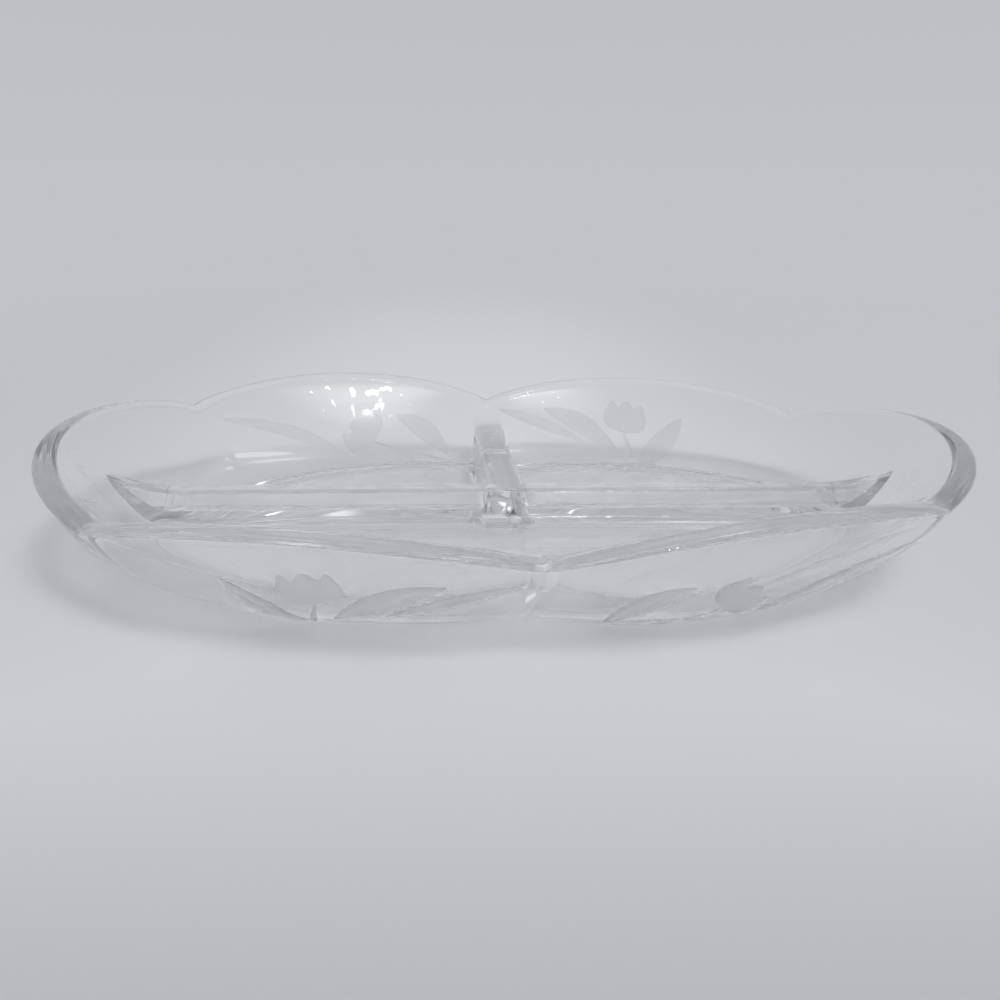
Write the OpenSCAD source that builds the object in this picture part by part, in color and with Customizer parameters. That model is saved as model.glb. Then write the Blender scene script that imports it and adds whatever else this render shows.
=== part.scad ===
// Relish tray of clear pressed glass: a six-lobed, swirled boat with three compartments,
// a low foot ring and satin sprays of tulips in low relief on its four long lobes.
// The origin is the middle of the foot, on the table. +X runs along the tray, +Z is up.

/* [Rim outline] */
// Distance along the tray from its middle to the two low end creases
low_crease_x = 120.3; // [112:0.1:128]
// Distance across the tray from its middle to the two low end creases
low_crease_y = 52; // [46:0.5:58]
// Height of the rim at the two low end creases
low_crease_z = 26; // [22:0.5:30]
// Distance along the tray from its middle to the two high end creases
high_crease_x = 123.2; // [115:0.1:131]
// Distance across the tray from its middle to the two high end creases
high_crease_y = 51.5; // [46:0.5:58]
// Height of the rim at the two high end creases
high_crease_z = 30.5; // [26:0.5:34]
// Shift along the tray of the side creases, to the right at the front
side_crease_x = 5.9; // [0:0.1:10]
// Distance across the tray from its middle to the side creases
side_crease_y = 75.5; // [68:0.5:82]
// Height of the rim at the side creases
side_crease_z = 26; // [22:0.5:30]

/* [Lobes] */
// Bulge of the first pair of long lobes beyond the line between their creases
first_bulge = 13.6; // [9:0.1:16]
// Bulge of the second pair of long lobes
second_bulge = 13.8; // [9:0.1:16]
// Bulge of the two end lobes
end_bulge = 28; // [22:0.5:32]
// Rise of the rim over the first pair of long lobes
first_rise = 8.9; // [6:0.1:13]
// Rise of the rim over the second pair of long lobes
second_rise = 9; // [6:0.1:13]
// Rise of the rim over the two end lobes
end_rise = 10.3; // [6:0.1:13]

/* [Wall] */
// Draw-in along the tray from the low end creases down to the foot
low_flare_x = 10.3; // [6:0.1:16]
// Draw-in across the tray from the low end creases down to the foot
low_flare_y = 21; // [16:0.5:25]
// Draw-in along the tray from the high end creases down to the foot
high_flare_x = 27.2; // [20:0.1:32]
// Draw-in across the tray from the high end creases down to the foot
high_flare_y = 14.5; // [10:0.5:19]
// Draw-in across the tray from the side creases down to the foot
side_flare_y = 22; // [17:0.5:26]
// Shift along the tray of the side creases between the rim and the foot
side_swirl = 5.9; // [0:0.1:10]
// Bulge of the long lobes at the foot
foot_bulge = 14; // [9:0.5:17]
// Bulge of the end lobes at the foot
foot_end_bulge = 20; // [14:0.5:26]
// Thickness of the wall at the rim
rim_w = 7; // [5:0.25:9]
// Height of the rounded crown of the rim
rim_crown = 2.2; // [0.8:0.1:3]
// Thickness of the wall over the foot, measured level
wall_foot_w = 7; // [5:0.25:9]
// Height of the floor's upper side above the table
floor_z = 6; // [5:0.25:8]

/* [Foot ring] */
// Height of the foot ring
foot_h = 1.2; // [0.8:0.1:2]
// Width of the foot ring
foot_w = 5; // [3:0.25:7]
// Step from the edge of the base to the foot ring
foot_step = 1; // [0.5:0.1:2]

/* [Dividers] */
// Height of the dividers above the floor
divider_h = 12; // [8:0.25:14]
// Width of the long divider at its top
divider_top_w = 5.4; // [4:0.1:8]
// Width of the long divider at the floor
divider_foot_w = 12.5; // [10:0.25:15]
// Distance from the tray's middle to where the long divider starts to sweep up
divider_level_x = 110; // [90:0.5:116]
// Reach of the long divider's pointed tips from the tray's middle
divider_tip_x = 141; // [132:0.5:141]
// Rise of the long divider's tips above its level top
divider_tip_rise = 8; // [5:0.25:12]
// Width of the cross divider at its top
cross_top_w = 12; // [8:0.1:13]
// Width of the cross divider at the floor
cross_foot_w = 16; // [14:0.25:19]
// Rise of the cross divider at the wall
cross_rise = 4; // [2:0.25:7]
// Length of the stretch where the cross divider rises to the wall
cross_rise_run = 12; // [8:0.5:22]
// Radius of the dividers' top edges
divider_edge_r = 1.6; // [0.8:0.1:1.9]
// Radius of the cove between the dividers and the floor
divider_cove_r = 2.4; // [1:0.1:3]

/* [Satin relief] */
// Height of the relief above the wall
relief_h = 0.7; // [0.4:0.1:1.2]
// Width of the broad leaves
broad_leaf_w = 8; // [5:0.25:10]
// Width of the slender leaves
slender_leaf_w = 4.6; // [3:0.1:6]
// Width of a tulip's bloom
bloom_w = 18; // [13:0.5:21]
// Height of a tulip's bloom
bloom_h = 13; // [9:0.25:14]
// Width of a tulip's stem
stem_w = 1.8; // [1.2:0.1:3]

/* [Hidden] */
glass_tint = [0.86, 0.89, 0.89, 0.45];
satin_tint = [0.93, 0.94, 0.94];

// Steps along each lobe, up the wall and over the rim
lobe_steps = 16;
wall_steps = 8;
rim_steps = 6;
lobes = 6;
ring_size = lobes * lobe_steps;

// Shape shares: how full the lobes are in plan and in height, and how the wall bows
plan_share = 0.70;
end_plan_share = 0.72;
foot_plan_share = 0.87;
rise_share = 0.86;
end_rise_share = 0.60;
reach_share = 1.1;
climb_share = 1.8;
crown_share = 0.9;

// Corners of the rim and of the foot, anticlockwise from the front left.
// The back half is the front half turned by half a turn.
function turned(p) = [-p.x, -p.y, p.z];
rim_low = [-low_crease_x, -low_crease_y, low_crease_z];
rim_side = [side_crease_x, -side_crease_y, side_crease_z];
rim_high = [high_crease_x, -high_crease_y, high_crease_z];
foot_low = [-(low_crease_x - low_flare_x), -(low_crease_y - low_flare_y), foot_h];
foot_side = [side_crease_x - side_swirl, -(side_crease_y - side_flare_y), foot_h];
foot_high = [high_crease_x - high_flare_x, -(high_crease_y - high_flare_y), foot_h];
rim_corners = [rim_low, rim_side, rim_high, turned(rim_low), turned(rim_side), turned(rim_high)];
foot_corners = [foot_low, foot_side, foot_high, turned(foot_low), turned(foot_side), turned(foot_high)];

// Point at share t of a lobe that bulges and rises between corners p and q
function lobe_point(p, q, t, bulge, rise, plan_pow, rise_pow) =
    let (swell = 4 * t * (1 - t), d = q - p, run = norm([d.x, d.y]))
    [p.x + d.x * t + d.y / run * bulge * pow(swell, plan_pow),
     p.y + d.y * t - d.x / run * bulge * pow(swell, plan_pow),
     p.z + d.z * t + rise * pow(swell, rise_pow)];

// Closed ring of points: six lobes, whose steps crowd towards the creases
function ring(corners, bulges, rises, plan_pows, rise_pows) =
    [for (i = [0 : lobes - 1], j = [0 : lobe_steps - 1])
        let (t = (1 - cos(180 * j / lobe_steps)) / 2, half = i % 3)
        lobe_point(corners[i], corners[(i + 1) % lobes], t,
            bulges[half], rises[half], plan_pows[half], rise_pows[half])];

rim_ring = ring(rim_corners, [first_bulge, second_bulge, end_bulge],
    [first_rise, second_rise, end_rise],
    [plan_share, plan_share, end_plan_share], [rise_share, rise_share, end_rise_share]);
foot_outline = ring(foot_corners, [foot_bulge, foot_bulge, foot_end_bulge], [0, 0, 0],
    [foot_plan_share, foot_plan_share, foot_plan_share], [1, 1, 1]);

function wrapped(i) = (i + ring_size) % ring_size;
// Level outward direction of a ring at one of its points
function outward(points, i) =
    let (d = points[wrapped(i + 1)] - points[wrapped(i - 1)], run = norm([d.x, d.y]))
    [d.y / run, -d.x / run, 0];
function inset(points, depth) =
    [for (i = [0 : ring_size - 1]) points[i] - outward(points, i) * depth];
function at_height(points, z) = [for (p = points) [p.x, p.y, z]];

// Rings of a wall that bows out and up from a foot ring to a rim ring
function bowed(low, high, k) =
    let (angle = 90 * k / wall_steps, reach = pow(sin(angle), reach_share),
         climb = 1 - pow(cos(angle), climb_share))
    [for (i = [0 : ring_size - 1])
        let (d = high[i] - low[i])
        low[i] + [d.x * reach, d.y * reach, d.z * climb]];
function wall_rings(low, high) = [for (k = [0 : wall_steps]) bowed(low, high, k)];

outer_rings = wall_rings(foot_outline, rim_ring);
inner_rings = wall_rings(at_height(inset(foot_outline, wall_foot_w), floor_z), inset(rim_ring, rim_w));

// Rings over the rounded crown of the rim, from the outer edge to the inner edge
function signed_pow(x, p) = sign(x) * pow(abs(x), p);
crown_rings = [for (k = [1 : rim_steps - 1])
    let (angle = 180 * k / rim_steps,
         across = (1 - signed_pow(cos(angle), crown_share)) / 2,
         lift = pow(sin(angle), crown_share))
    [for (i = [0 : ring_size - 1])
        rim_ring[i] - outward(rim_ring, i) * rim_w * across + [0, 0, rim_crown * lift]]];

function flat_list(lists) = [for (part = lists) each part];
function backwards(list) = [for (i = [len(list) - 1 : -1 : 0]) list[i]];

// Skin of triangles between two closed rings of points with the same count
function strip(first, second, count) =
    [for (i = [0 : count - 1])
        let (n = (i + 1) % count)
        each [[first + i, second + n, first + n], [first + i, second + i, second + n]]];

module tray_shell() {
    rings = concat(outer_rings, crown_rings, backwards(inner_rings));
    last = (len(rings) - 1) * ring_size;
    color(glass_tint)
        polyhedron(points = flat_list(rings), convexity = 8,
            faces = concat(
                [[for (i = [0 : ring_size - 1]) i]],
                flat_list([for (k = [0 : len(rings) - 2])
                    strip(k * ring_size, (k + 1) * ring_size, ring_size)]),
                [[for (i = [ring_size - 1 : -1 : 0]) last + i]]));
}

module foot_ring() {
    outer_edge = inset(foot_outline, foot_step);
    inner_edge = inset(foot_outline, foot_step + foot_w);
    color(glass_tint)
        linear_extrude(height = foot_h)
            difference() {
                polygon([for (p = outer_edge) [p.x, p.y]]);
                polygon([for (p = inner_edge) [p.x, p.y]]);
            }
}

// Half of a divider's cross section, from the floor to the middle of its top:
// a cove at the foot, a sloped flank and a rounded top edge
cove_steps = 3;
edge_steps = 3;
function half_section(top_w, foot_w, h) =
    let (flank = atan2(foot_w / 2 - top_w / 2, h))
    concat(
        [[foot_w / 2 + divider_cove_r * tan(45 - flank / 2), 0]],
        [for (k = [1 : cove_steps])
            let (turn = (90 - flank) * k / cove_steps,
                 middle = [foot_w / 2 + divider_cove_r * tan(45 - flank / 2), divider_cove_r])
            middle + divider_cove_r * [-sin(turn), -cos(turn)]],
        [for (k = [0 : edge_steps])
            let (turn = (90 - flank) * k / edge_steps + flank,
                 middle = [top_w / 2 - divider_edge_r * tan(45 - flank / 2), h - divider_edge_r])
            middle + divider_edge_r * [cos(turn), sin(turn)]]);
function full_section(top_w, foot_w, h) =
    let (half = half_section(top_w, foot_w, h))
    concat(half, [for (p = backwards(half)) [-p.x, p.y]]);

// Solid through cross sections that stand at stations along a heading: [distance, top width, height]
module ridge(stations, foot_w, heading) {
    sections = [for (s = stations) [for (p = full_section(s[1], foot_w, s[2]))
        [s[0] * cos(heading) - p.x * sin(heading), s[0] * sin(heading) + p.x * cos(heading), floor_z + p.y]]];
    count = len(sections[0]);
    last = (len(sections) - 1) * count;
    polyhedron(points = flat_list(sections), convexity = 6,
        faces = concat(
            [[for (i = [0 : count - 1]) i]],
            flat_list([for (k = [0 : len(sections) - 2])
                strip(k * count, (k + 1) * count, count)]),
            [[for (i = [count - 1 : -1 : 0]) last + i]]));
}

// Closed slab between two grids of points, near and far, whose squares are split along
// the rising or the falling diagonal
module slab(near, far, rows, count, rising) {
    half = rows * count;
    index = function (layer, k, i) layer * half + k * count + i;
    square = function (a, b, c, d) [[a, b, c], [a, c, d]];
    polyhedron(points = concat(near, far), convexity = 6,
        faces = concat(
            [for (k = [0 : rows - 2], i = [0 : count - 2])
                let (a = index(0, k, i), b = index(0, k, i + 1), c = index(0, k + 1, i + 1), d = index(0, k + 1, i))
                each (rising ? square(a, b, c, d) : square(b, c, d, a))],
            [for (k = [0 : rows - 2], i = [0 : count - 2])
                let (a = index(1, k, i), b = index(1, k, i + 1), c = index(1, k + 1, i + 1), d = index(1, k + 1, i))
                each (rising ? square(a, d, c, b) : square(d, c, b, a))],
            [for (i = [0 : count - 2])
                each square(index(0, 0, i), index(1, 0, i), index(1, 0, i + 1), index(0, 0, i + 1))],
            [for (i = [0 : count - 2], k = rows - 1)
                each square(index(0, k, i), index(0, k, i + 1), index(1, k, i + 1), index(1, k, i))],
            [for (k = [0 : rows - 2])
                each square(index(0, k, 0), index(0, k + 1, 0), index(1, k + 1, 0), index(1, k, 0))],
            [for (k = [0 : rows - 2], i = count - 1)
                each square(index(0, k, i), index(1, k, i), index(1, k + 1, i), index(0, k + 1, i))]));
}

// Everything beyond a stretch of the inner wall, to cut a divider's end to its seat
seat_overrun = side_crease_y;
module beyond_wall(first, count, direction) {
    near = [for (k = [0 : wall_steps], i = [0 : count - 1]) inner_rings[k][wrapped(first + i)]];
    far = [for (p = near) p + direction * seat_overrun];
    slab(near, far, wall_steps + 1, count, false);
}

sweep_steps = 6;
// Stations of the long divider: level in the middle, swept up to pointed tips
function sweep_stations(side) =
    [for (k = [0 : sweep_steps])
        let (share = k / sweep_steps, run = divider_tip_x - divider_level_x)
        [side * (divider_level_x + run * share),
         max(divider_top_w * (1 - 0.5 * share), 2 * divider_edge_r),
         divider_h + divider_tip_rise * pow(share, 2)]];
module long_ridge() {
    ridge(concat(backwards(sweep_stations(-1)), sweep_stations(1)), divider_foot_w, 0);
}

// Steps round the ring to the middles of the end lobes and to the back side crease, and the steps
// to either side that a divider's seat takes
right_middle_steps = 2.5 * lobe_steps;
left_middle_steps = 5.5 * lobe_steps;
back_crease_steps = 4 * lobe_steps;
seat_steps = 5;

module long_divider() {
    color(glass_tint)
        difference() {
            long_ridge();
            beyond_wall(right_middle_steps - seat_steps, 2 * seat_steps + 1, [1, 0, 0]);
            beyond_wall(left_middle_steps - seat_steps, 2 * seat_steps + 1, [-1, 0, 0]);
        }
}

// The cross divider runs back from the long divider to the side crease, over the crease's foot
cross_heading = 90 + atan2(side_crease_x, side_crease_y);
cross_end = side_crease_y - side_flare_y / 3;
function rise_stations() =
    [for (k = [0 : sweep_steps])
        let (share = k / sweep_steps)
        [cross_end - cross_rise_run * (1 - share), cross_top_w, divider_h + cross_rise * pow(share, 2)]];
module cross_divider() {
    color(glass_tint)
        difference() {
            ridge(concat([[0, cross_top_w, divider_h]], rise_stations(),
                [[side_crease_y, cross_top_w, divider_h + cross_rise]]), cross_foot_w, cross_heading);
            long_ridge();
            beyond_wall(back_crease_steps - seat_steps, 2 * seat_steps + 1, [0, 1, 0]);
        }
}

// Thin skin over the outside of one lobe, in which the relief is cut
function surface_outward(k, i) =
    let (along = outer_rings[k][wrapped(i + 1)] - outer_rings[k][wrapped(i - 1)],
         up = outer_rings[k + 1][wrapped(i)] - outer_rings[max(k - 1, 0)][wrapped(i)],
         n = cross(along, up))
    n / norm(n);
module lobe_skin(lobe) {
    start = lobe * lobe_steps + 1;
    near = [for (k = [0 : wall_steps - 1], i = [0 : lobe_steps - 2]) outer_rings[k][start + i]];
    far = [for (k = [0 : wall_steps - 1], i = [0 : lobe_steps - 2])
        outer_rings[k][start + i] + surface_outward(k, start + i) * relief_h];
    slab(near, far, wall_steps, lobe_steps - 1, true);
}

// Outlines of the relief, seen from the front: a place is a share of the way along the
// lobe and a share of the rim's height at the side crease
function place(lobe, share) =
    [rim_corners[lobe].x + (rim_corners[lobe + 1].x - rim_corners[lobe].x) * share.x,
     side_crease_z * share.y];
leaf_steps = 8;
leaf_taper_share = 0.8;
// A leaf from root to tip, bowed to its left by a share of its length
module leaf(root, tip, bow_share, w) {
    d = tip - root;
    across = [-d.y, d.x];
    side = function (s, half_w) root + d * s + across * bow_share * 4 * s * (1 - s)
        + across / norm(d) * half_w * pow(sin(180 * s), leaf_taper_share);
    polygon(concat([for (k = [0 : leaf_steps]) side(k / leaf_steps, w / 2)],
        [for (k = [leaf_steps - 1 : -1 : 1]) side(k / leaf_steps, -w / 2)]));
}
groove_w = stem_w / 3;
module veined_leaf(root, tip, bow_share, w) {
    difference() {
        leaf(root, tip, bow_share, w);
        leaf(root + (tip - root) / leaf_steps, tip - (tip - root) / leaf_steps,
            bow_share * (1 - 2 / leaf_steps), groove_w);
    }
}
// Right half of a tulip's bloom, from its foot to its middle tip, in shares of its width and height
bloom_shares = [[0.10, 0], [0.34, 0.10], [0.49, 0.34], [0.50, 0.62], [0.42, 0.96],
    [0.24, 0.72], [0.12, 0.90], [0, 1]];
petal_shares = [[0.06, 0.12], [0.26, 0.30], [0.23, 0.70]];
module bloom(foot, tilt) {
    translate(foot) rotate(tilt) difference() {
        polygon(concat(
            [for (p = bloom_shares) [p.x * bloom_w, p.y * bloom_h]],
            [for (p = backwards(bloom_shares)) if (p.x > 0) [-p.x * bloom_w, p.y * bloom_h]]));
        for (side = [-1, 1])
            leaf([side * petal_shares[0].x * bloom_w, petal_shares[0].y * bloom_h],
                [side * petal_shares[2].x * bloom_w, petal_shares[2].y * bloom_h],
                -side * petal_shares[1].x, groove_w);
    }
}
module in_relief(lobe) {
    color(satin_tint)
        intersection() {
            lobe_skin(lobe);
            rotate([90, 0, 0]) linear_extrude(height = 2 * side_crease_y) children();
        }
}

// Spray on the first pair of long lobes: an open bloom over leaves that sweep to the side crease
first_bloom_share = [0.525, 0.52];
module first_bloom() {
    in_relief(0) bloom(place(0, first_bloom_share), 8);
}
module first_leaves() {
    in_relief(0) {
        veined_leaf(place(0, [0.49, 0.09]), place(0, [0.33, 0.80]), 0.08, broad_leaf_w);
        veined_leaf(place(0, [0.55, 0.24]), place(0, [0.80, 0.86]), 0.06, broad_leaf_w);
        veined_leaf(place(0, [0.66, 0.34]), place(0, [0.96, 0.86]), 0.02, slender_leaf_w);
        leaf(place(0, [0.505, 0.08]), place(0, [0.525, 0.52]), 0.05, stem_w);
    }
}
// Spray on the second pair: a leaning bloom on a long stem, and leaves that sweep to the high crease
second_bloom_share = [0.415, 0.38];
module second_bloom() {
    in_relief(1) bloom(place(1, second_bloom_share), -48);
}
module second_leaves() {
    in_relief(1) {
        leaf(place(1, [0.12, 0.08]), place(1, [0.415, 0.38]), -0.06, stem_w);
        veined_leaf(place(1, [0.48, 0.10]), place(1, [0.93, 0.94]), 0.05, slender_leaf_w);
        veined_leaf(place(1, [0.14, 0.16]), place(1, [0.34, 0.78]), 0.08, broad_leaf_w);
    }
}

module front_left_bloom() first_bloom();
module front_left_leaves() first_leaves();
module front_right_bloom() second_bloom();
module front_right_leaves() second_leaves();
module back_right_bloom() rotate(180) first_bloom();
module back_right_leaves() rotate(180) first_leaves();
module back_left_bloom() rotate(180) second_bloom();
module back_left_leaves() rotate(180) second_leaves();

tray_shell();
foot_ring();
long_divider();
cross_divider();
front_left_bloom();
front_left_leaves();
front_right_bloom();
front_right_leaves();
back_right_bloom();
back_right_leaves();
back_left_bloom();
back_left_leaves();
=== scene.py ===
"""Looks of a clear pressed-glass relish tray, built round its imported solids.

The tray is one pressing of soda-lime glass. Its wall, foot ring and dividers are therefore one
closed mesh, because glass shows every face inside it, and the satin sprays are thin skins that
lie a hair's breadth off the wall. The tray's sizes are in millimetres until mesh_object() makes
metres of them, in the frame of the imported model. The studio's sizes are in metres.
"""

import logging
import math
from dataclasses import dataclass, field
from enum import Enum

import bmesh
import bpy
import numpy as np
from bpy.types import Material, Node, NodeSocket, NodeTree, Object
from mathutils import Matrix, Vector


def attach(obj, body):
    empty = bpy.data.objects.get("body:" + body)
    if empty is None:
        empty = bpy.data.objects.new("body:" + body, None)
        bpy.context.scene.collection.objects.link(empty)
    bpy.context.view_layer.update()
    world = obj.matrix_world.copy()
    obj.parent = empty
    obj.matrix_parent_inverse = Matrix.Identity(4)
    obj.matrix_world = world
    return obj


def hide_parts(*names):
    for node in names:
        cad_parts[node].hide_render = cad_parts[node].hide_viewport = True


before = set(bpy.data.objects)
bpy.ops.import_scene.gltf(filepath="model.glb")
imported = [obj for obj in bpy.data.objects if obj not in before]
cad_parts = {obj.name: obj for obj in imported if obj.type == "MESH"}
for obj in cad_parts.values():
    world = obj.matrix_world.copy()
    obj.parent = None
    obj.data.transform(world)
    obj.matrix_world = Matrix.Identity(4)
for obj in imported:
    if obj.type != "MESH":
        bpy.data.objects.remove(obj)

Pair = tuple[float, float]
Triple = tuple[float, float, float]
# points in rows, and the corner numbers of each face
Skin = tuple[np.ndarray, list[tuple[int, ...]]]

LOG = logging.getLogger("relish_tray")
MM = 0.001
ROOT = "root"
# lobes are numbered anticlockwise from the front left, three to a half
RIGHT_END_LOBE = 2
BACK_LEFT_LOBE = 4
GROOVE_DEPTH = 0.5
SMOOTH = {"interpolation_type": "SMOOTHSTEP"}


class Half(Enum):
    """Half of the tray that a spray lies on, as the factor that takes front places to it."""

    FRONT = 1
    BACK = -1


def linear(hex_colour: str) -> tuple[float, float, float, float]:
    """Turns an sRGB colour into the linear colour that a shader takes.

    Args:
        hex_colour: Six hex digits, such as "C8CACD".

    Returns:
        Linear red, green, blue and an alpha of one.
    """
    parts = [int(hex_colour[i : i + 2], 16) / 255 for i in (0, 2, 4)]
    red, green, blue = (c / 12.92 if c <= 0.04045 else ((c + 0.055) / 1.055) ** 2.4 for c in parts)
    return red, green, blue, 1.0


def add_node(tree: NodeTree, kind: str, settings: dict[str | int, object] | None = None,
             links: dict[str | int, NodeSocket] | None = None) -> Node:
    """Adds a node to a tree.

    Args:
        tree: Node tree that takes the node.
        kind: Blender's name of the node type, without the ShaderNode before it.
        settings: Properties of the node by name, or values of its inputs by their number or name.
        links: Sockets to link to the node's inputs, by the inputs' numbers or names.

    Returns:
        The new node.
    """
    node = tree.nodes.new("ShaderNode" + kind)
    for key, value in (settings or {}).items():
        if isinstance(key, str) and hasattr(node, key):
            setattr(node, key, value)
        else:
            node.inputs[key].default_value = value
    for key, socket in (links or {}).items():
        tree.links.new(socket, node.inputs[key])
    return node


def new_material(name: str) -> tuple[Material, Node]:
    """Makes an empty material.

    Args:
        name: Name of the material.

    Returns:
        The material and its output node.
    """
    material = bpy.data.materials.new(name)
    material.use_nodes = True
    material.node_tree.nodes.clear()
    return material, add_node(material.node_tree, "OutputMaterial")


@dataclass(frozen=True)
class PressedGlass:
    """Clear soda-lime glass, pressed in a mould and fire-polished.

    The flame leaves a bright skin whose faint waves, some centimetres long, bend what is seen
    through it. Thick places turn a little grey.
    """

    tint: str = "FEFEFE"
    ior: float = 1.52
    roughness: float = 0.0
    depth_tint: str = "BDC0C3"
    depth_per_m: float = 2.2
    wave_mm: float = 17.0
    wave_depth_mm: float = 0.02

    def material(self) -> Material:
        """Makes the polished glass.

        Returns:
            The material.
        """
        material, output = new_material("pressed_soda_lime_glass_fire_polished")
        tree = material.node_tree
        place = add_node(tree, "TexCoord")
        waves = add_node(tree, "TexNoise",
                         {"Scale": 1 / (self.wave_mm * MM), "Detail": 1.5, "Roughness": 0.4},
                         {"Vector": place.outputs["Object"]})
        skin = add_node(tree, "Bump", {"Strength": 1.0, "Distance": self.wave_depth_mm * MM},
                        {"Height": waves.outputs["Fac"]})
        glass = add_node(tree, "BsdfPrincipled",
                         {"Base Color": linear(self.tint), "Roughness": self.roughness,
                          "IOR": self.ior, "Transmission Weight": 1.0},
                         {"Normal": skin.outputs["Normal"]})
        depth = add_node(tree, "VolumeAbsorption",
                         {"Color": linear(self.depth_tint), "Density": self.depth_per_m})
        tree.links.new(glass.outputs["BSDF"], output.inputs["Surface"])
        tree.links.new(depth.outputs["Volume"], output.inputs["Volume"])
        return material


@dataclass(frozen=True)
class EtchedGlass:
    """Soda-lime glass whose surface was roughened, so that it scatters what shows through it.

    Acid gives the raised sprays a satin skin with faint clouds in it. Its grain is drawn coarser
    than the real one, which is too fine to show in the render.
    """

    name: str = "soda_lime_glass_acid_etched_satin"
    tint: str = "F5F5F6"
    ior: float = 1.3
    transmission: float = 0.9
    roughness: float = 0.30
    roughness_swing: float = 0.04
    grain_mm: float = 0.6
    grain_depth_mm: float = 0.01
    cloud_mm: float = 7.2

    def material(self) -> Material:
        """Makes the roughened glass.

        Returns:
            The material.
        """
        material, output = new_material(self.name)
        tree = material.node_tree
        place = add_node(tree, "TexCoord")
        grain = add_node(tree, "TexNoise",
                         {"Scale": 1 / (self.grain_mm * MM), "Detail": 3.0, "Roughness": 0.6},
                         {"Vector": place.outputs["Object"]})
        clouds = add_node(tree, "TexNoise", {"Scale": 1 / (self.cloud_mm * MM), "Detail": 2.0},
                          {"Vector": place.outputs["Object"]})
        depth = add_node(tree, "MapRange",
                         {"To Min": self.roughness - self.roughness_swing,
                          "To Max": self.roughness + self.roughness_swing},
                         {"Value": clouds.outputs["Fac"]})
        skin = add_node(tree, "Bump", {"Strength": 1.0, "Distance": self.grain_depth_mm * MM},
                        {"Height": grain.outputs["Fac"]})
        glass = add_node(tree, "BsdfPrincipled",
                         {"Base Color": linear(self.tint), "IOR": self.ior,
                          "Transmission Weight": self.transmission},
                         {"Roughness": depth.outputs["Result"], "Normal": skin.outputs["Normal"]})
        tree.links.new(glass.outputs["BSDF"], output.inputs["Surface"])
        return material


def mesh_object(name: str, points: np.ndarray, faces: list[tuple[int, ...]],
                material: Material) -> Object:
    """Makes a smooth-shaded mesh object from points in millimetres.

    Args:
        name: Name of the object.
        points: Points in rows, in millimetres.
        faces: Corner numbers of each face, anticlockwise from outside.
        material: Material of the whole mesh.

    Returns:
        The new object, linked to the scene.
    """
    mesh = bpy.data.meshes.new(name)
    mesh.from_pydata((points * MM).tolist(), [], faces)
    mesh.materials.append(material)
    mesh.polygons.foreach_set("use_smooth", [True] * len(mesh.polygons))
    mesh.update()
    piece = bpy.data.objects.new(name, mesh)
    bpy.context.scene.collection.objects.link(piece)
    return piece


def level_sheet(name: str, half_size: Pair, height: float, material: Material) -> Object:
    """Makes a flat level rectangle round the upright axis.

    Args:
        name: Name of the object.
        half_size: Half its width and half its depth, in metres.
        height: Its height in metres.
        material: Its material.

    Returns:
        The new object, linked to the scene.
    """
    wide, deep = half_size
    corners = [(-wide, -deep, height), (wide, -deep, height),
               (wide, deep, height), (-wide, deep, height)]
    return mesh_object(name, np.array(corners) / MM, [(0, 1, 2, 3)], material)


def loft(rings: list[np.ndarray], closed: bool = False) -> Skin:
    """Skins a row of rings that all have the same number of points.

    Args:
        rings: Rings of points, each running anticlockwise seen along the row from its end.
        closed: Whether the last ring joins the first one, or both are capped.

    Returns:
        Points and faces of the closed skin.
    """
    count, rows = len(rings[0]), len(rings)
    faces: list[tuple[int, ...]] = []
    for k in range(rows if closed else rows - 1):
        low, high = k * count, (k + 1) % rows * count
        for i in range(count):
            n = (i + 1) % count
            faces.append((low + i, low + n, high + n, high + i))
    if not closed:
        faces.append(tuple(range(count - 1, -1, -1)))
        faces.append(tuple((rows - 1) * count + i for i in range(count)))
    return np.concatenate(rings), faces


@dataclass(frozen=True)
class LobedOutline:
    """Closed outline of six lobes between six corners, the back half being the front one turned."""

    front_corners: tuple[Triple, Triple, Triple]
    bulges: Triple
    rises: Triple
    plan_powers: Triple
    rise_powers: Triple

    def corners(self) -> np.ndarray:
        """Returns the six corners in rows, anticlockwise from the front left."""
        front = np.array(self.front_corners)
        return np.concatenate([front, front * (-1, -1, 1)])

    def at(self, lobe: int | np.ndarray, share: float | np.ndarray) -> np.ndarray:
        """Finds points on the outline.

        Args:
            lobe: Number of the lobe, from 0 at the front left, anticlockwise.
            share: Share of the way along the lobe, from 0 to 1.

        Returns:
            The points in rows.
        """
        lobe, share = np.broadcast_arrays(np.atleast_1d(lobe), np.atleast_1d(share))
        corners, half = self.corners(), lobe % 3
        start = corners[lobe]
        run = corners[(lobe + 1) % 6] - start
        length = np.hypot(run[:, 0], run[:, 1])
        swell = np.clip(4 * share * (1 - share), 0, 1)
        bulge = np.array(self.bulges)[half] * swell ** np.array(self.plan_powers)[half]
        rise = np.array(self.rises)[half] * swell ** np.array(self.rise_powers)[half]
        outward = np.stack([run[:, 1] / length * bulge, -run[:, 0] / length * bulge, rise], axis=1)
        return start + run * share[:, None] + outward


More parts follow.
